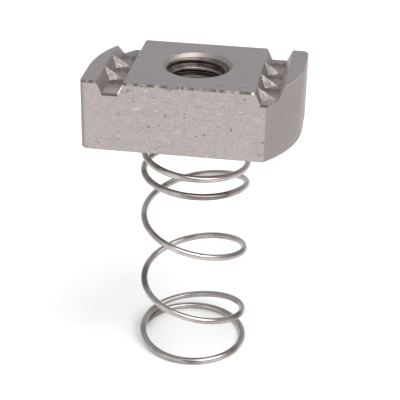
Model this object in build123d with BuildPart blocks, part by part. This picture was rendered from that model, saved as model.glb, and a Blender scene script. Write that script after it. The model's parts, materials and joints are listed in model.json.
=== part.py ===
from build123d import *
import math
import os

os.makedirs("parts", exist_ok=True)

# Strut spring nut: a toothed channel nut carried on a long compression spring.
# +X runs along the nut, +Y across it, +Z up the thread. The spring's foot stands on Z = 0.

# Nut body
nut_length = 34.5
nut_width = 20.0
nut_height = 11.8
swing_radius = 20.0       # arc that lets the nut turn inside the channel
swing_start = 3.4         # where that arc leaves the end face, past the middle
corner_radius = 1.0       # the two corners that stay square
bottom_round = 0.45
top_round = 0.3

# Tapped hole, M10 x 1.5, drawn at its thread's root diameter
bore_diameter = 10.2
mouth_chamfer = 0.55

# The two grooves that take the channel's turned-in lips
groove_spacing = 24.9
groove_mouth = 4.3
groove_floor = 2.4
groove_depth = 2.0
groove_lead = 0.8         # rounding along the mouth's untoothed edge

# Wedge teeth: each rises against the groove's -X wall and dies out across the floor
tooth_pitch = 5.5
tooth_half_width = 2.0
tooth_run = 3.0           # length of the ridge, along X
tooth_drop = 0.03         # tooth tips below the top face
tooth_bury = 0.1          # how far a tooth's ends reach into the wall and the floor
tooth_tip = 0.06          # half width left at the thin end
outer_teeth = 2           # teeth in the -X groove
outer_teeth_y = -0.4
inner_teeth = 3           # teeth in the +X groove
inner_teeth_y = -1.6

# Spring, wound left hand from its foot up to the seat in the nut
wire = 1.1
coil_radius = 8.7
foot_radius = 9.1
foot_turns = 0.8          # the foot lies flat until it has to rise over its own tip
foot_pitch = 0.0
run_out_turns = 0.45
run_out_pitch = 5.7
active_turns = 2.3
active_pitch = 12.6
neck_turns = 1.2
neck_pitch = 3.2
shoulder_turns = 1.0
shoulder_pitch = 5.0
seat_turns = 0.8
seat_pitch = 0.3
pitch_easing = 0.06       # turns over which one pitch blends into the next
tip_angle = 180           # the foot's wire tip lies on the -X side
points_per_turn = 16      # points on the wire's centre line

# Seat for the spring's top coil: a ring groove in the nut's underside
seat_clearance = 0.08
seat_depth = 1.5

coil_stages = [
    (foot_turns, foot_pitch),
    (run_out_turns, run_out_pitch),
    (active_turns, active_pitch),
    (neck_turns, neck_pitch),
    (shoulder_turns, shoulder_pitch),
    (seat_turns, seat_pitch),
]
all_turns = sum(turns for turns, pitch in coil_stages)
spring_height = wire + sum(turns * pitch for turns, pitch in coil_stages)
nut_base = spring_height + seat_clearance - seat_depth
nut_top = nut_base + nut_height

half_length = nut_length / 2
half_width = nut_width / 2
match = 0.01              # how near an edge has to lie to be picked by its place
swing_angle = math.degrees(math.asin((half_width + swing_start) / swing_radius))
swing_foot = half_length - swing_radius * (1 - math.cos(math.radians(swing_angle)))


def stage_height(turn):
    """Height that the stages' own pitches add up to after this many turns."""
    height = 0
    for turns, pitch in coil_stages:
        part = min(turn, turns)
        height += part * pitch
        turn -= part
    return height


def eased_rise(turn):
    """The same height with each change of pitch blended over a short stretch."""
    near = [turn + pitch_easing * step / 2 for step in (-2, -1, 0, 1, 2)]
    return sum(stage_height(min(max(t, 0), all_turns)) for t in near) / len(near)


def wire_point(turn):
    """Centre of the wire after this many turns from the foot."""
    flare = 1 - min(turn / (foot_turns + active_turns / 2), 1)
    radius = coil_radius + (foot_radius - coil_radius) * flare
    angle = math.radians(tip_angle - 360 * turn)
    height = wire / 2 + eased_rise(turn) - eased_rise(0)
    return (radius * math.cos(angle), radius * math.sin(angle), height)


# Nut: plan outline with two square corners and two trimmed to the swing arc
with BuildPart() as nut:
    with BuildSketch(Plane.XY.offset(nut_base)):
        with BuildLine():
            for turn in (0, 180):
                swing = -1 if turn else 1
                start = (-swing * half_length, -swing * half_width)
                foot = (swing * swing_foot, -swing * half_width)
                Line((-swing * half_length, -swing * swing_start), start)
                Line(start, foot)
                CenterArc(
                    (swing * (half_length - swing_radius), swing * swing_start),
                    swing_radius,
                    turn - swing_angle,
                    swing_angle,
                )
        make_face()
    extrude(amount=nut_height)
    square_corners = nut.edges().filter_by(Axis.Z).filter_by(
        lambda edge: abs(abs(edge.center().X) - half_length) < match
        and abs(abs(edge.center().Y) - half_width) < match
    )
    fillet(square_corners, corner_radius)
    fillet(nut.faces().sort_by(Axis.Z)[0].outer_wire().edges(), bottom_round)
    fillet(nut.faces().sort_by(Axis.Z)[-1].outer_wire().edges(), top_round)

    # Lip grooves: the section reaches above the top face, so that its mouth can be rounded
    with BuildSketch(Plane.XZ) as groove_section:
        for groove_x in (-groove_spacing / 2, groove_spacing / 2):
            with BuildLine():
                Polyline(
                    (groove_x - groove_mouth, nut_top + groove_lead),
                    (groove_x - groove_mouth, nut_top),
                    (groove_x - groove_mouth / 2, nut_top),
                    (groove_x - groove_floor / 2, nut_top - groove_depth),
                    (groove_x + groove_floor / 2, nut_top - groove_depth),
                    (groove_x + groove_mouth / 2, nut_top),
                    (groove_x + groove_mouth, nut_top),
                    (groove_x + groove_mouth, nut_top + groove_lead),
                    close=True,
                )
            make_face()
        mouth_corners = groove_section.vertices().filter_by(
            lambda corner: min(
                abs(corner.X - groove_x - groove_mouth / 2)
                for groove_x in (-groove_spacing / 2, groove_spacing / 2)
            ) < match
        )
        fillet(mouth_corners, groove_lead)
    extrude(amount=nut_width, both=True, mode=Mode.SUBTRACT)

    # Tapped hole with a countersunk mouth at each end
    with Locations((0, 0, nut_top)):
        Hole(bore_diameter / 2)
    bore_rims = nut.edges().filter_by(GeomType.CIRCLE).filter_by(
        lambda edge: abs(edge.radius - bore_diameter / 2) < match
    )
    chamfer(bore_rims, mouth_chamfer)

    # Ring groove in the underside for the spring's top coil
    with BuildSketch(Plane.XY.offset(nut_base)):
        Circle(coil_radius + wire / 2 + seat_clearance)
        Circle(coil_radius - wire / 2 - seat_clearance, mode=Mode.SUBTRACT)
    extrude(amount=seat_depth, mode=Mode.SUBTRACT)

    # Teeth
    for count, middle, groove_x in (
        (outer_teeth, outer_teeth_y, -groove_spacing / 2),
        (inner_teeth, inner_teeth_y, groove_spacing / 2),
    ):
        wall_x = groove_x - groove_mouth / 2 - tooth_bury
        foot_x = wall_x + tooth_run
        floor_z = nut_top - groove_depth
        for index in range(count):
            tooth_y = middle + (index - (count - 1) / 2) * tooth_pitch
            with BuildSketch(Plane.YZ.offset(wall_x)) as tall_end:
                with BuildLine():
                    Polyline(
                        (tooth_y - tooth_half_width, floor_z - tooth_bury),
                        (tooth_y + tooth_half_width, floor_z - tooth_bury),
                        (tooth_y, nut_top - tooth_drop),
                        close=True,
                    )
                make_face()
            with BuildSketch(Plane.YZ.offset(foot_x)) as thin_end:
                with BuildLine():
                    Polyline(
                        (tooth_y - tooth_tip, floor_z - tooth_bury),
                        (tooth_y + tooth_tip, floor_z - tooth_bury),
                        (tooth_y, floor_z + tooth_tip),
                        close=True,
                    )
                make_face()
            loft()

nut.part.label = "nut"
export_step(nut.part, "parts/nut.step")

# Spring: one length of wire swept along its eased left-hand coil
with BuildPart() as spring:
    with BuildLine() as coil:
        steps = round(all_turns * points_per_turn)
        Spline(*[wire_point(all_turns * step / steps) for step in range(steps + 1)])
    with BuildSketch(Plane(origin=coil.line @ 0, z_dir=coil.line % 0)):
        Circle(wire / 2)
    sweep(path=coil.line, is_frenet=True)

spring.part.label = "spring"
export_step(spring.part, "parts/spring.step")
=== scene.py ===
import json
import math

import bpy
import numpy as np
from mathutils import Euler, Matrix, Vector


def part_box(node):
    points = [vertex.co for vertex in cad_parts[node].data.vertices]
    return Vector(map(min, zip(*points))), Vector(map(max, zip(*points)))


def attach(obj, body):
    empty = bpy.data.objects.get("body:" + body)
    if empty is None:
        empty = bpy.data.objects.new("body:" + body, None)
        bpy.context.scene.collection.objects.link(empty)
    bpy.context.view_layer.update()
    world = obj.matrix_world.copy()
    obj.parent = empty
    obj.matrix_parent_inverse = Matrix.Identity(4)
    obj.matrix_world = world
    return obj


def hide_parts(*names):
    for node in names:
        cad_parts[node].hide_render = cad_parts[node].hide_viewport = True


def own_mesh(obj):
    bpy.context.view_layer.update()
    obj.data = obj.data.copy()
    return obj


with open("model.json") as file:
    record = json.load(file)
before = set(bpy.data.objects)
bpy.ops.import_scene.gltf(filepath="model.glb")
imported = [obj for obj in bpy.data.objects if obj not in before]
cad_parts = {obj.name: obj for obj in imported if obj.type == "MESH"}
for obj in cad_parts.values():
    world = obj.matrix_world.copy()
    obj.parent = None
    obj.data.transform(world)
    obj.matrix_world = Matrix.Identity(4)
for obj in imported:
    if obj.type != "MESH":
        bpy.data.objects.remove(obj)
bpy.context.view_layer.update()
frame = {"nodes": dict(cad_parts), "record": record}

nutLow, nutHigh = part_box("nut")
springLow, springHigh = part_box("spring")
threadMount = [m for m in frame["record"]["mounts"] if m["name"] == "thread"][0]
boreRadius = threadMount["dims"]["r_mm"] / 1000
boreLength = threadMount["dims"]["length_mm"] / 1000
print("frame loaded, nut top at", round(nutHigh.z, 5))


# helpers for meshes and node trees

def unit(vectors):
    # each vector divided by its own length
    return vectors / np.linalg.norm(vectors, axis=-1, keepdims=True)


def gridFaces(rows, columns):
    # quads of a grid whose columns close on themselves: each cell joins a point with its
    # neighbour along the column, the next row and both together
    r = np.arange(rows - 1)[:, None]
    c = np.arange(columns)[None, :]
    n = (c + 1) % columns
    quads = [r * columns + c, r * columns + n, (r + 1) * columns + n, (r + 1) * columns + c]
    return np.stack(quads, -1).reshape(-1, 4)


def sweepRing(path, ringRadius, sides):
    # a circle carried along a path: at each path point the circle lies across the path's
    # direction, with its first axis kept level, so the tube doesn't twist
    tangent = unit(np.gradient(path, axis=0))
    across = unit(np.cross(tangent, np.array([0.0, 0.0, 1.0])))
    over = np.cross(across, tangent)
    angle = np.linspace(0, 2 * np.pi, sides, endpoint=False)[None, :, None]
    ring = np.cos(angle) * across[:, None, :] + np.sin(angle) * over[:, None, :]
    return path[:, None, :] + ringRadius[:, None, None] * ring


def meshPiece(name, points, faces, material, body):
    # a smooth mesh at the origin that moves with its CAD body
    mesh = bpy.data.meshes.new(name)
    mesh.from_pydata(points.reshape(-1, 3), [], faces)
    mesh.polygons.foreach_set("use_smooth", np.ones(len(mesh.polygons), bool))
    mesh.validate()
    piece = bpy.data.objects.new(name, mesh)
    bpy.context.scene.collection.objects.link(piece)
    mesh.materials.append(material)
    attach(piece, body)
    return piece


class Tree:
    # a material's node tree with short calls for adding and joining nodes
    def __init__(self, name):
        self.material = bpy.data.materials.new(name)
        self.material.use_nodes = True
        self.nodes = self.material.node_tree.nodes
        self.links = self.material.node_tree.links
        self.shader = self.nodes["Principled BSDF"]

    def add(self, kind, settings=None, inputs=None):
        node = self.nodes.new(kind)
        for key, value in (settings or {}).items():
            setattr(node, key, value)
        for key, value in (inputs or {}).items():
            self.join(value, node.inputs[key])
        return node

    def join(self, value, socket):
        if isinstance(value, bpy.types.NodeSocket):
            self.links.new(value, socket)
        else:
            socket.default_value = value

    def finish(self, colour, metallic, rough, normal=None):
        self.join(colour, self.shader.inputs["Base Color"])
        self.join(metallic, self.shader.inputs["Metallic"])
        self.join(rough, self.shader.inputs["Roughness"])
        if normal is not None:
            self.join(normal, self.shader.inputs["Normal"])
        return self.material

    def place(self, scale=(1, 1, 1)):
        # the object's own coordinates; a scale under 1 draws the pattern out along that axis
        coord = self.add("ShaderNodeTexCoord").outputs["Object"]
        return self.add("ShaderNodeMapping", inputs={"Vector": coord, "Scale": scale}).outputs[0]

    def axes(self):
        # the object's own x, y and z and, as a list, the three parts of its surface normal
        coord = self.add("ShaderNodeTexCoord")
        parts = self.add("ShaderNodeSeparateXYZ", inputs={0: coord.outputs["Object"]}).outputs
        facing = self.add("ShaderNodeSeparateXYZ", inputs={0: coord.outputs["Normal"]}).outputs
        return parts[0], parts[1], parts[2], facing

    def noise(self, place, scale, detail=3.0, rough=0.5):
        inputs = {"Vector": place, "Scale": scale, "Detail": detail, "Roughness": rough}
        return self.add("ShaderNodeTexNoise", inputs=inputs).outputs["Fac"]

    def remap(self, value, low, high, toLow=0.0, toHigh=1.0, smooth=False):
        # low becomes toLow and high becomes toHigh; low may be the larger of the two
        kind = "SMOOTHSTEP" if smooth else "LINEAR"
        inputs = {"Value": value, "From Min": low, "From Max": high}
        inputs.update({"To Min": toLow, "To Max": toHigh})
        return self.add("ShaderNodeMapRange", {"interpolation_type": kind}, inputs).outputs[0]

    def math(self, operation, a, b=0.0):
        return self.add("ShaderNodeMath", {"operation": operation}, {0: a, 1: b}).outputs[0]

    def times(self, first, *others):
        for other in others:
            first = self.math("MULTIPLY", first, other)
        return first

    def plus(self, a, b):
        return self.math("ADD", a, b)

    def minus(self, a, b):
        return self.math("SUBTRACT", a, b)

    def size(self, value):
        return self.math("ABSOLUTE", value)

    def band(self, value, middle, half, soft):
        # 1 within half of the middle, fading to 0 over the soft distance
        return self.remap(self.size(self.minus(value, middle)), half, half + soft, 1.0, 0.0, True)

    def fromAxis(self, x, y):
        # square root of x squared plus y squared
        return self.math("SQRT", self.plus(self.times(x, x), self.times(y, y)))

    def blend(self, share, a, b):
        node = self.add("ShaderNodeMix", {"data_type": "RGBA"}, {"Factor": share})
        self.join(a, node.inputs[6])
        self.join(b, node.inputs[7])
        return node.outputs[2]

    def bump(self, height, strength, distance, below=None):
        inputs = {"Height": height, "Strength": strength, "Distance": distance}
        if below is not None:
            inputs["Normal"] = below
        return self.add("ShaderNodeBump", inputs=inputs).outputs[0]


# nut

grooves = {
    "spacing": 0.0249,
    "mouth": 0.0043,
    "floor": 0.0024,
    "depth": 0.0020,
    "toothPitch": 0.0055,
    "leftTooth": -0.00315,           # how far along its groove one tooth of each row stands
    "rightTooth": -0.00160,
    "shadeAhead": 0.0019,             # painted shade gathers this far in front of each tooth
}

nutFinish = {
    "light": (0.494, 0.439, 0.430, 1),
    "dark": (0.339, 0.298, 0.291, 1),
    # painted shade: the top's grain colours, darker and cooler than the sides'
    "topShadedLight": (0.439, 0.399, 0.409, 1),
    "topShadedDark": (0.307, 0.276, 0.284, 1),
    # the sheared ends' streaked colour, which also serves as painted shade on them
    "endStreakAndShade": (0.261, 0.231, 0.221, 1),
    "pitColour": (0.119, 0.101, 0.092, 1),
    "scuffDark": (0.197, 0.169, 0.160, 1),
    # scraped bright metal on the scuffs' ridges, and painted light on the groove walls that face
    # -X
    "scrapedAndPaintedLight": (0.604, 0.558, 0.535, 1),
    # dark brown for the broken edge lines, and painted shade on the groove floors
    "darkLineAndFloorShade": (0.110, 0.084, 0.073, 1),
    # painted shade on the groove walls that face +X
    "wallShade": (0.160, 0.125, 0.123, 1),
    # torn grey metal on the teeth's front facets, also painted shade on them
    "tornAndPaintedShade": (0.112, 0.104, 0.101, 1),
    # painted glints: near-white for the burr line, the chip and the specks on the teeth
    "paintedGlint": (0.90, 0.89, 0.87, 1),
    "rim": (0.320, 0.293, 0.284, 1),
    "metallic": 0.85,
    "rough": (0.44, 0.54),
    "rimRough": 0.41,
    "rimWidth": 0.0007,              # how far the bright rim may reach out from the bore
    "edgeRough": 0.2,                # added roughness along the dark edge lines
    # normals that count as level, as sloping, as upright and as one of the two ends
    "level": (0.90, 0.98),
    "sloping": (0.5, 0.6),
    "upright": (0.30, 0.20),
    "end": (0.97, 0.93),
    "middling": (0.3, 0.7),          # the range in which most of a noise's values lie
    # grain: scales of its four layers, and how far the finest go from dark to light
    "grain": 5200.0,
    "grit": 2700.0,
    "mottle": 700.0,
    "broad": 140.0,
    "contrast": 0.12,
    "grainDepth": 0.00004,
    "grainBump": 0.5,
    "mottleBump": 0.2,
    "topCalm": 0.45,                 # how much of the grain's contrast the linished top keeps
    "endCalm": 0.30,
    # sheared ends: how far they go towards their own darker colour, in upright streaks; the
    # darkening is partly the sheared surface and partly painted shade
    "endStreakShadeShare": 0.62,
    "endShadeFacing": (0.35, 0.95),
    "endShadeTurn": (0.8, 1.6),           # painted shade: less near the front and back, more where they face outward
    "streaks": 1500.0,
    "streakStretch": (1, 1, 0.06),
    "streakShare": (0.86, 1.0),
    "pits": 900.0,
    "pitSize": (0.07, 0.182),        # from full depth to none, in shares of a cell
    "pitPatches": 315.0,
    "pitted": (0.54, 0.60),          # pits lie only where a slower noise is above this
    "pitBump": 0.6,
    "scuffs": 1250.0,                # short dents and scratches, most of them lying flat
    "scuffStretch": (0.45, 1, 1.3),
    "struck": (0.42, 0.58),          # the same for scuffs, which the lowest and highest values
    "dents": (0.36, 0.30),           # of their own noise turn into dents and ridges
    "ridges": (0.64, 0.70),
    "dentShare": 0.75,
    "ridgeShare": 0.55,
    "endScuffs": 0.15,               # share of the scuffs left on the ends
    # grooves: painted shade and painted light on their walls and floors, torn metal darkened by
    # painted shade and painted glints as bright specks on the teeth
    "hair": (0.00008, 0.00002),      # this close to a wall still counts as in the groove
    "soft": 0.0001,
    "wallShadePatchShare": (0.35, 0.75),
    "paintedWallLightShare": (0.3, 0.95),
    "wallShadeSides": (0.50, 1.0),        # painted shade on the walls of the left and the right groove
    "grooveShade": (0.22, 0.80),
    "shadeLevel": (0.44, 0.70),
    "shadePatches": 760.0,
    "shadeStretch": (1, 0.45, 1),
    "shadePull": (0.17, -0.08),       # added to the patches beside and between the teeth
    "shadeFree": (0.0016, 0.0034),    # between these distances from the front, the floors' painted shade thins and painted light takes its place
    "shadeLeft": 0.25,
    "paintedFrontLightShare": 0.75,
    "tornShadeShare": 0.42,
    "torn": 1500.0,
    "tornStretch": (1, 1, 0.5),
    "tornFrom": (0.38, 0.60),
    "tornRange": (1.8, 0.3),
    "tornDepth": 0.00006,
    "tornBump": 0.5,
    "glints": 2400.0,
    "glintFrom": (0.61, 0.70),
    "glintStretch": (1, 1, 0.6),
    "glintShare": (0.5, 0.2),        # on the left and the right row
    # edges: a broken dark line, and painted glints on burrs where a wall meets the front
    "edgeDarkening": 0.85,
    "edgeWidth": 0.00016,
    "edgeBreaks": 900.0,
    "edgeStretch": (1, 0.2, 0.2),
    "edgeFrom": (0.36, 0.56),
    "burrWidth": 0.00011,
    "burrReach": 0.0002,             # how far round the front edge it shows
    "burrBreaks": 1300.0,
    "burrFrom": (0.42, 0.56),
    "burrLeast": 0.25,
    "chipFrom": 0.00045,             # a small chip stands this far outside the right groove
    "chipSize": 0.00008,
    "chipBelow": 0.00022,
    "chipReach": 0.0003,
    "chipSoft": 0.0002,
    "chipShare": 0.7,
}


def tumbledSteel(name, finish, shape):
    # matt stainless: fine peened grain and a few small dark pits, calmer on the linished top and
    # the sheared ends; painted shade makes the top's colours darker and cooler and darkens the
    # ends; the bore's rim is turned bright
    t = Tree(name)
    place = t.place()
    x, y, _, facing = t.axes()

    grain = t.noise(place, finish["grain"], 2.0, 0.6)
    grit = t.noise(place, finish["grit"], 3.0, 0.6)
    mottle = t.noise(place, finish["mottle"], 4.0, 0.6)
    broad = t.noise(place, finish["broad"], 3.0, 0.5)
    fine = t.plus(t.times(grain, 0.5), t.times(grit, 0.5))
    tone = t.plus(t.times(fine, 0.8), t.times(mottle, 0.2))
    onTop = t.remap(facing[2], *finish["level"])
    upright = t.remap(t.size(facing[2]), *finish["upright"])
    atEnd = t.times(upright, t.remap(t.size(facing[1]), *finish["end"]))
    calm = t.minus(1.0, t.times(onTop, 1 - finish["topCalm"]))
    calm = t.minus(calm, t.times(atEnd, 1 - finish["endCalm"]))
    contrast = finish["contrast"]
    swing = t.remap(t.times(t.minus(tone, 0.5), calm), -contrast, contrast)
    colour = t.blend(swing, finish["dark"], finish["light"])
    # painted shade: the top takes its own darker, cooler grain colours
    colour = t.blend(onTop, colour, t.blend(swing, finish["topShadedDark"], finish["topShadedLight"]))

    # painted shade on the ends, strongest where they face outward, in upright streaks of the
    # sheared surface
    outward = t.remap(t.size(facing[0]), *finish["endShadeFacing"], *finish["endShadeTurn"])
    streaks = t.noise(t.place(finish["streakStretch"]), finish["streaks"], 2.0, 0.6)
    streaks = t.remap(streaks, *finish["middling"], *finish["streakShare"])
    endStreakShadeShare = t.times(atEnd, outward, streaks, finish["endStreakShadeShare"])
    colour = t.blend(endStreakShadeShare, colour, finish["endStreakAndShade"])

    cell = t.add("ShaderNodeTexVoronoi", inputs={"Vector": place, "Scale": finish["pits"]})
    pitAt = t.remap(cell.outputs["Distance"], *finish["pitSize"], 1.0, 0.0, True)
    pitted = t.remap(t.noise(place, finish["pitPatches"], 1.0), *finish["pitted"])
    pit = t.times(pitAt, pitted, calm)
    colour = t.blend(pit, colour, finish["pitColour"])

    scuff = t.noise(t.place(finish["scuffStretch"]), finish["scuffs"], 2.0, 0.5)
    kept = t.remap(atEnd, 0.0, 1.0, 1.0, finish["endScuffs"])
    struck = t.times(t.remap(broad, *finish["struck"]), kept)
    dent = t.times(t.remap(scuff, *finish["dents"]), struck, calm)
    ridge = t.times(t.remap(scuff, *finish["ridges"]), struck, calm)
    colour = t.blend(t.times(dent, finish["dentShare"]), colour, finish["scuffDark"])
    colour = t.blend(t.times(ridge, finish["ridgeShare"]), colour, finish["scrapedAndPaintedLight"])

    nearBore = t.math("LESS_THAN", t.fromAxis(x, y), boreRadius + finish["rimWidth"])
    sloping = t.remap(facing[2], *finish["sloping"])
    rim = t.times(nearBore, sloping, t.minus(1.0, onTop))
    colour = t.blend(rim, colour, finish["rim"])

    near = grooveMasks(t, finish, shape)
    colour = paintGrooveShadeAndLight(t, finish, shape, near, colour, grit)
    colour, torn = tearTeeth(t, finish, near, colour)
    colour, edge = darkEdgeLines(t, finish, shape, near, colour)
    colour = paintBurrGlints(t, finish, shape, near, colour)

    rough = t.remap(broad, *finish["middling"], *finish["rough"])
    rough = t.plus(rough, t.times(edge, finish["edgeRough"]))
    rough = t.minus(rough, t.times(rim, finish["rough"][0] - finish["rimRough"]))
    depth = finish["grainDepth"]
    bump = t.bump(t.plus(fine, t.minus(ridge, dent)), finish["grainBump"], depth)
    bump = t.bump(mottle, finish["mottleBump"], depth * 3, bump)
    bump = t.bump(t.minus(1.0, pit), finish["pitBump"], depth * 3, bump)
    bump = t.bump(torn, finish["tornBump"], finish["tornDepth"], bump)
    return t.finish(colour, finish["metallic"], rough, bump)


def grooveMasks(t, finish, shape):
    # across is 0 in a groove's middle and plus towards +X. The walls lean in towards the floor:
    # half the width is half the mouth less lean times the depth below the top, and fromWall is
    # 0 on a wall and minus inside the groove
    x, y, z, facing = t.axes()
    across = t.minus(x, t.times(t.math("SIGN", x), shape["spacing"] / 2))
    below = t.minus(nutHigh.z, z)
    lean = (shape["mouth"] - shape["floor"]) / 2 / shape["depth"]
    fromWall = t.minus(t.size(across), t.minus(shape["mouth"] / 2, t.times(below, lean)))
    belowTop = t.band(below, shape["depth"] * 0.55, shape["depth"] * 0.47, finish["soft"])
    inGroove = t.times(t.remap(fromWall, *finish["hair"]), belowTop)
    atSide = t.band(t.size(y), nutHigh.y, finish["edgeWidth"] * 1.6, finish["edgeWidth"])
    return {
        "x": x, "y": y, "facing": facing, "across": across, "below": below,
        "fromWall": fromWall, "inGroove": inGroove, "atSide": atSide,
    }


def leftToRight(t, x, left, right):
    # one value on the left groove's side of the nut, another on the right's
    return t.remap(x, -0.001, 0.001, left, right)


def paintGrooveShadeAndLight(t, finish, shape, near, colour, grit):
    # brown painted shade on the walls that face +X, painted light on those across from them, and
    # painted shade in patches on the floors: thickest just ahead of each tooth, giving way to
    # painted light near the front
    x, y, facing, inGroove = near["x"], near["y"], near["facing"], near["inGroove"]
    # painted shade on the walls that face +X, in patches
    shadedWall = t.times(inGroove, t.remap(facing[0], 0.3, 0.6))
    shadedWall = t.times(shadedWall, leftToRight(t, x, *finish["wallShadeSides"]))
    patches = t.remap(grit, *finish["middling"], *finish["wallShadePatchShare"])
    shadedWall = t.times(shadedWall, patches)
    colour = t.blend(shadedWall, colour, finish["wallShade"])
    # painted light on the walls that face -X
    scrapedAndPaintedLight = t.times(inGroove, t.remap(facing[0], -0.3, -0.6))
    scrapedAndPaintedLight = t.times(scrapedAndPaintedLight, t.remap(grit, 0.35, 0.65, *finish["paintedWallLightShare"]))
    colour = t.blend(scrapedAndPaintedLight, colour, finish["scrapedAndPaintedLight"])

    # apart is the distance from the nearest patch of painted shade, in tooth pitches
    spread = (shape["rightTooth"] - shape["leftTooth"]) / 2
    row = t.plus(t.times(t.math("SIGN", x), spread), shape["leftTooth"] + spread)
    ahead = t.minus(row, shape["shadeAhead"])
    turns = t.math("DIVIDE", t.minus(y, ahead), shape["toothPitch"])
    apart = t.size(t.minus(t.math("FRACT", t.plus(turns, 0.5)), 0.5))
    patches = t.noise(t.place(finish["shadeStretch"]), finish["shadePatches"], 4.0, 0.7)
    # painted shade on the floors, gathered in patches just ahead of each tooth
    gathered = t.plus(t.remap(apart, 0.02, 0.34, *finish["shadePull"], True), patches)
    onFloor = t.times(inGroove, t.remap(facing[2], *finish["level"]))
    litUntil, shadedFrom = (nutLow.y + distance for distance in finish["shadeFree"])
    within = t.remap(y, litUntil, shadedFrom, 0.0, 1.0, True)
    # painted light on the floors near the front
    paintedFrontLight = t.times(onFloor, t.minus(1.0, within), finish["paintedFrontLightShare"])
    colour = t.blend(paintedFrontLight, colour, finish["light"])
    shadeLevel = t.remap(gathered, *finish["shadeLevel"], *finish["grooveShade"])
    shadeLevel = t.times(shadeLevel, t.remap(within, 0.0, 1.0, finish["shadeLeft"], 1.0))
    return t.blend(t.times(onFloor, shadeLevel), colour, finish["darkLineAndFloorShade"])


def tearTeeth(t, finish, near, colour):
    # the teeth's front facets: torn grey metal darkened by painted shade, with painted glints as
    # bright specks
    facet = t.times(near["inGroove"], t.remap(near["facing"][1], -0.15, -0.35))
    torn = t.noise(t.place(finish["tornStretch"]), finish["torn"], 4.0, 0.75)
    torn = t.times(facet, t.remap(torn, *finish["tornFrom"], *finish["tornRange"]))
    # painted shade on the facets, broken up by the torn metal's pattern
    colour = t.blend(t.times(torn, finish["tornShadeShare"]), colour, finish["tornAndPaintedShade"])
    # painted glints as bright specks on the facets
    glint = t.noise(t.place(finish["glintStretch"]), finish["glints"], 2.0, 0.6)
    glint = t.times(facet, t.remap(glint, *finish["glintFrom"]))
    glint = t.times(glint, leftToRight(t, near["x"], *finish["glintShare"]))
    return t.blend(glint, colour, finish["paintedGlint"]), torn


def darkEdgeLines(t, finish, shape, near, colour):
    # a broken dark line along the long top edges, and one under each groove's mouth at the front
    # and back
    width = finish["edgeWidth"]
    atTop = t.times(near["atSide"], t.band(near["below"], width, width * 0.7, width))
    breaks = t.noise(t.place(finish["edgeStretch"]), finish["edgeBreaks"], 3.0, 0.7)
    atTop = t.times(atTop, t.remap(breaks, *finish["edgeFrom"]))
    mouth = t.band(near["across"], 0.0, shape["floor"] * 0.5, width)
    under = t.band(near["below"], shape["depth"] + width * 0.8, width * 0.6, width)
    edge = t.math("MAXIMUM", atTop, t.times(near["atSide"], mouth, under))
    return t.blend(t.times(edge, finish["edgeDarkening"]), colour, finish["darkLineAndFloorShade"]), edge


def paintBurrGlints(t, finish, shape, near, colour):
    # at the front: a painted highlight as a bright line down the left groove's inner wall, and a
    # painted glint on a chip in the top edge beside the right groove's
    x, y, across, below = near["x"], near["y"], near["across"], near["below"]
    fromWall, line = near["fromWall"], finish["burrWidth"]
    paintedGlint = t.band(fromWall, line * 0.6, line, line * 0.5)
    paintedGlint = t.times(paintedGlint, t.band(y, nutLow.y, finish["burrReach"], finish["soft"]))
    half = shape["depth"] * 0.4
    paintedGlint = t.times(paintedGlint, t.band(below, shape["depth"] * 0.55, half, finish["soft"]))
    paintedGlint = t.times(paintedGlint, t.math("LESS_THAN", x, 0.0), t.math("GREATER_THAN", across, 0.0))
    lively = t.noise(t.place(), finish["burrBreaks"], 2.0)
    lively = t.remap(lively, *finish["burrFrom"], finish["burrLeast"], 1.0)
    colour = t.blend(t.times(paintedGlint, lively), colour, finish["paintedGlint"])

    # painted glint on a small chip beside the right groove
    chipSize, chipSoft = finish["chipSize"], finish["chipSoft"]
    chip = t.band(fromWall, finish["chipFrom"], chipSize, chipSoft)
    chip = t.times(chip, t.band(below, finish["chipBelow"], chipSize, chipSoft))
    chip = t.times(chip, t.band(y, nutLow.y, finish["chipReach"], finish["soft"]))
    chip = t.times(chip, t.math("GREATER_THAN", x, 0.0), t.math("LESS_THAN", across, 0.0))
    return t.blend(t.times(chip, finish["chipShare"]), colour, finish["paintedGlint"])


nut = frame["nodes"]["nut"]
nut.data.materials.clear()
nut.data.materials.append(tumbledSteel("tumbledSteel", nutFinish, grooves))
print("nut finished")


# thread in the tapped hole

thread = {
    "pitch": 0.0015,
    "rootGap": 0.00001,              # the root stands this far off the bore's wall
    "depth": 0.00082,
    "crestFlat": 0.14,               # share of the pitch left flat at the crest
    "rootFlat": 0.20,
    "start": 0.81,                   # where in its turn the thread passes the nut's top
    "runOut": 0.5,                   # turns over which the thread fades at each mouth
    "around": 160,
    "perPitch": 20,
    "skin": 0.00006,                 # the liner's back lies this far behind the bore's wall
}

threadFinish = {
    "light": (0.205, 0.166, 0.150, 1),
    "dark": (0.125, 0.100, 0.089, 1),
    # painted highlight on the crests
    "crest": (0.360, 0.326, 0.303, 1),
    "metallic": 1.0,
    "rough": (0.38, 0.52),
    "chatter": 1100.0,
    "chatterStretch": (1, 1, 0.2),
    "chatterDepth": 0.00003,
    "crestBand": (0.00012, 0.00003),  # from the crest outwards, where the painted highlight fades
    "highlightPatches": 260.0,
    "highlightFrom": (0.44, 0.56),
    "chatterRange": (0.35, 0.65),
    "middling": (0.3, 0.7),
    "chatterBump": 0.3,
    "depthShadeFrom": (0.0024, 0.0036),     # painted shade: the turns darken between these depths
    "depthShadeShare": 0.8,
}


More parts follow.
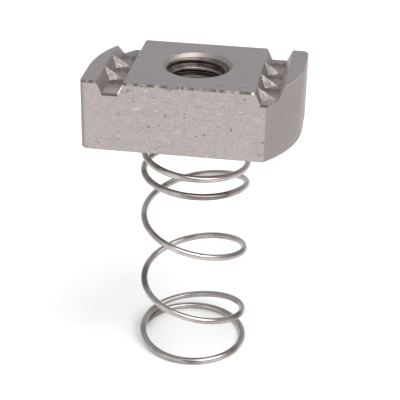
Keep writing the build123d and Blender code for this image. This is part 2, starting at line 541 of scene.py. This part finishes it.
def cutSteel(name, finish, shape):
    # the tap's cut surface: oil-brown and smoother than the tumbled skin, with fine chatter round
    # the hole, a painted highlight in places along the crests and painted shade deeper down
    t = Tree(name)
    x, y, z, _ = t.axes()
    chatter = t.noise(t.place(finish["chatterStretch"]), finish["chatter"], 3.0, 0.6)
    crestRadius = boreRadius - shape["depth"]
    faded, full = (crestRadius + distance for distance in finish["crestBand"])
    onCrest = t.remap(t.fromAxis(x, y), faded, full)
    patches = t.noise(t.place(), finish["highlightPatches"], 2.0)
    patches = t.remap(patches, *finish["highlightFrom"])
    swing = t.remap(chatter, *finish["chatterRange"])
    stain = t.blend(swing, finish["dark"], finish["light"])
    # painted highlight in patches along the crests
    colour = t.blend(t.times(onCrest, patches), stain, finish["crest"])
    # painted shade: darker deeper in the hole
    depthShade = t.remap(t.minus(nutHigh.z, z), *finish["depthShadeFrom"], 0.0, finish["depthShadeShare"])
    colour = t.blend(depthShade, colour, finish["dark"])
    rough = t.remap(chatter, *finish["middling"], *finish["rough"])
    bump = t.bump(chatter, finish["chatterBump"], finish["chatterDepth"])
    return t.finish(colour, finish["metallic"], rough, bump)


def threadTurns(cut):
    # a tube lining the bore: its radius is the bore's radius less a trapezium wave of
    # (height / pitch - angle / full turn), faded out at both mouths; its back is a plain
    # cylinder just inside the wall, so the tube is closed
    middle = threadMount["pos_m"][2]
    rows = int(boreLength / cut["pitch"] * cut["perPitch"])
    z = np.linspace(middle - boreLength / 2, middle + boreLength / 2, rows)[:, None]
    angle = np.linspace(0, 2 * np.pi, cut["around"], endpoint=False)[None, :]
    phase = ((z - nutHigh.z) / cut["pitch"] - angle / (2 * np.pi) + cut["start"]) % 1.0
    wave = np.abs(phase - 0.5) * 2
    span = 1 - cut["crestFlat"] - cut["rootFlat"]
    ridge = np.clip((wave - cut["rootFlat"]) / span, 0, 1)
    fade = np.clip(np.minimum(z - z[0], z[-1] - z) / (cut["pitch"] * cut["runOut"]), 0, 1)
    frontRadius = boreRadius - cut["rootGap"] - cut["depth"] * ridge * fade
    backRadius = np.full((2, cut["around"]), boreRadius + cut["skin"])
    radius = np.concatenate([frontRadius, backRadius])
    height = np.concatenate([z, z[-1:], z[:1]])
    rings = np.stack([radius * np.cos(angle), radius * np.sin(angle), height + 0 * angle], -1)
    faces = gridFaces(len(rings) + 1, cut["around"]) % (len(rings) * cut["around"])
    return rings, faces[:, ::-1]


points, faces = threadTurns(thread)
threadSteel = cutSteel("tapCutSteel", threadFinish, thread)
meshPiece("threadTurns", points, faces, threadSteel, "nut")
print("thread cut")


# spring

spring = {
    "wire": 0.0011,
    "coilRadius": 0.0087,
    "footRadius": 0.0091,
    "tipAngle": 180.0,
    # turns and pitch of each stage, from the foot up
    "stages": [
        (0.8, 0.0), (0.45, 0.0057), (2.3, 0.0126), (1.2, 0.0032), (1.0, 0.0050), (0.8, 0.0003),
    ],
    "easing": 0.06,                  # turns over which one pitch passes into the next
    "flareTurns": 1.95,              # turns over which the foot narrows to the coil
    "tipLength": 0.06,               # sheared ends: rounded over this share of the wire's radius
    "tipSize": 0.93,
    "perTurn": 120,
    "sides": 20,
}

wireFinish = {
    "light": (0.600, 0.562, 0.548, 1),
    "dark": (0.270, 0.240, 0.232, 1),
    "tarnish": (0.125, 0.099, 0.091, 1),
    "patches": 105.0,                # tarnish lies in patches a few millimetres long
    "patchFrom": (0.48, 0.64),
    "patchShare": 0.75,
    "backFrom": (0.001, 0.007),      # and thins out towards the coils' +Y side
    "backShare": 0.35,
    "metallic": 1.0,
    "rough": (0.17, 0.25),
    "lines": 5.0,
    "lineStretch": (0.05, 3.0, 1.0),
    "lineDepth": 0.000008,
    "lineBump": 0.3,
    "blotches": 160.0,
    "toneRange": (0.36, 0.62),
    "middling": (0.3, 0.7),
}


def drawnWire(name, finish):
    # bright wire: drawing lines run along it, on the piece's own UV map (u along, v round), and
    # tarnish lies on it in patches
    t = Tree(name)
    uv = t.add("ShaderNodeUVMap", {"uv_map": "alongWire"}).outputs[0]
    stretch = {"Vector": uv, "Scale": finish["lineStretch"]}
    along = t.add("ShaderNodeMapping", inputs=stretch).outputs[0]
    lines = t.noise(along, finish["lines"], 3.0, 0.6)
    blotch = t.noise(t.place(), finish["blotches"], 3.0, 0.6)
    tone = t.plus(t.times(lines, 0.6), t.times(blotch, 0.4))
    swing = t.remap(tone, *finish["toneRange"])
    colour = t.blend(swing, finish["dark"], finish["light"])
    patch = t.noise(t.place(), finish["patches"], 2.0, 0.5)
    patch = t.remap(patch, *finish["patchFrom"], 0.0, finish["patchShare"], True)
    thinned = t.remap(t.axes()[1], *finish["backFrom"], 1.0, finish["backShare"])
    patch = t.times(patch, thinned)
    colour = t.blend(patch, colour, finish["tarnish"])
    rough = t.remap(blotch, *finish["middling"], *finish["rough"])
    bump = t.bump(lines, finish["lineBump"], finish["lineDepth"])
    return t.finish(colour, finish["metallic"], rough, bump)


def coilPath(s):
    # centre line of the wire: a circle whose height is the running sum of each stage's pitch,
    # averaged over a short stretch, and whose radius shrinks evenly from the foot
    allTurns = sum(turns for turns, pitch in s["stages"])
    turn = np.linspace(0, allTurns, int(allTurns * s["perTurn"]))

    def rise(at):
        height = np.zeros_like(at)
        start = 0.0
        for turns, pitch in s["stages"]:
            height += np.clip(at - start, 0, turns) * pitch
            start += turns
        return height

    shifts = [s["easing"] * k / 2 for k in (-2, -1, 0, 1, 2)]
    height = np.mean([rise(np.clip(turn + shift, 0, allTurns)) for shift in shifts], axis=0)
    height += s["wire"] / 2 - height[0]
    flare = 1 - np.minimum(turn / s["flareTurns"], 1)
    radius = s["coilRadius"] + (s["footRadius"] - s["coilRadius"]) * flare
    angle = np.radians(s["tipAngle"] - 360 * turn)
    return np.stack([radius * np.cos(angle), radius * np.sin(angle), height], -1)


def springWire(s):
    # the wire's circle carried along the coil; at each sheared end the last ring is smaller, a
    # short way from a full one, and a flat cap closes it
    path = coilPath(s)
    radius = s["wire"] / 2
    tip = radius * s["tipLength"]
    second = path[0] + unit(path[1] - path[0]) * tip
    secondLast = path[-1] - unit(path[-1] - path[-2]) * tip
    path = np.concatenate([[path[0], second], path[1:-1], [secondLast, path[-1]]])
    size = np.full(len(path), radius)
    size[[0, -1]] = radius * s["tipSize"]
    rings = sweepRing(path, size, s["sides"])
    faces = gridFaces(len(path), s["sides"])[:, ::-1].tolist()
    count = len(path) * s["sides"]
    faces.append(list(range(s["sides"])))
    faces.append(list(range(count - s["sides"], count))[::-1])
    return rings, faces, path


def unrollWire(piece, path, s):
    # u is the length run along the wire over its thickness; v goes from 1 to 0 and back to 1
    # round it, so it has no seam
    uvMap = piece.data.uv_layers.new(name="alongWire")
    corners = np.zeros(len(piece.data.loops), int)
    piece.data.loops.foreach_get("vertex_index", corners)
    steps = np.linalg.norm(np.diff(path, axis=0), axis=1)
    runLength = np.concatenate([[0], np.cumsum(steps)])
    u = runLength[corners // s["sides"]] / s["wire"]
    v = np.abs(corners % s["sides"] - s["sides"] / 2) / s["sides"] * 2
    uvMap.data.foreach_set("uv", np.stack([u, v], -1).ravel())


points, faces, path = springWire(spring)
wireSteel = drawnWire("drawnWire", wireFinish)
springPiece = meshPiece("coiledWire", points, faces, wireSteel, "spring")
unrollWire(springPiece, path, spring)
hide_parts("spring")
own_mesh(springPiece)
print("spring wound")


# floor, light and camera

studio = {
    "floorColour": (0.985, 0.985, 0.985, 1),
    "floorShade": (0.975, 0.975, 0.975, 1),
    "floorPatches": 30.0,
    "floorRough": 0.9,
    "floorSize": 3.0,
    "skyColour": (0.975, 0.99, 1.0, 1),
    "skyStrength": 0.615,
    # place, size, power and colour of each soft light; each looks at the nut
    "lights": [
        ("keyLight", (0.48, -0.36, 0.98), 1.25, 12.8, (1.0, 0.99, 0.975)),
        ("fillLight", (-0.60, -0.95, 0.60), 1.00, 1.8, (1.0, 1.0, 1.0)),
    ],
}


def paleFloor(s):
    # a plain square under the spring's foot
    t = Tree("paleFloor")
    tone = t.remap(t.noise(t.place(), s["floorPatches"]), 0.3, 0.7)
    t.join(t.blend(tone, s["floorColour"], s["floorShade"]), t.shader.inputs["Base Color"])
    t.join(s["floorRough"], t.shader.inputs["Roughness"])
    half = s["floorSize"] / 2
    corners = [(-half, -half, 0), (half, -half, 0), (half, half, 0), (-half, half, 0)]
    mesh = bpy.data.meshes.new("floor")
    mesh.from_pydata(corners, [], [(0, 1, 2, 3)])
    mesh.materials.append(t.material)
    floor = bpy.data.objects.new("floor", mesh)
    floor.location.z = springLow.z
    bpy.context.scene.collection.objects.link(floor)
    return floor


floor = paleFloor(studio)

world = bpy.data.worlds.new("studioSky")
world.use_nodes = True
sky = world.node_tree.nodes["Background"]
sky.inputs["Color"].default_value = studio["skyColour"]
sky.inputs["Strength"].default_value = studio["skyStrength"]
bpy.context.scene.world = world
bpy.context.scene.view_settings.view_transform = "Standard"

for name, place, size, power, colour in studio["lights"]:
    lamp = bpy.data.lights.new(name, "AREA")
    lamp.shape = "DISK"
    lamp.size = size
    lamp.energy = power
    lamp.color = colour
    lampObject = bpy.data.objects.new(name, lamp)
    lampObject.location = place
    aim = Vector((0, 0, nutLow.z)) - Vector(place)
    lampObject.rotation_euler = aim.to_track_quat("-Z", "Y").to_euler()
    bpy.context.scene.collection.objects.link(lampObject)

view = {
    "azimuth": 7.73,
    "elevation": 27.62,
    "roll": 1.3,
    "distance": 0.20355,
    "lens": 108.0,
    "sensor": 36.0,
    "nearest": 0.005,
    # the point looked at, and how far the view is moved across and up from it
    "target": (0.0, 0.0, 0.030),
    "across": 0.00078,
    "up": -0.002175,
}

azimuth, elevation = math.radians(view["azimuth"]), math.radians(view["elevation"])
level = math.cos(elevation)
outward = Vector((math.sin(azimuth) * level, -math.cos(azimuth) * level, math.sin(elevation)))
turned = (-outward).to_track_quat("-Z", "Y").to_euler()
rolled = turned.to_matrix() @ Euler((0, 0, math.radians(view["roll"]))).to_matrix()
aside = rolled @ Vector((view["across"], view["up"], view["distance"]))
camera = bpy.data.cameras.new("viewCamera")
camera.lens = view["lens"]
camera.sensor_width = view["sensor"]
camera.clip_start = view["nearest"]
cameraObject = bpy.data.objects.new("viewCamera", camera)
cameraObject.rotation_euler = rolled.to_euler()
cameraObject.location = Vector(view["target"]) + aside
bpy.context.scene.collection.objects.link(cameraObject)
bpy.context.scene.camera = cameraObject
print("studio and camera set")
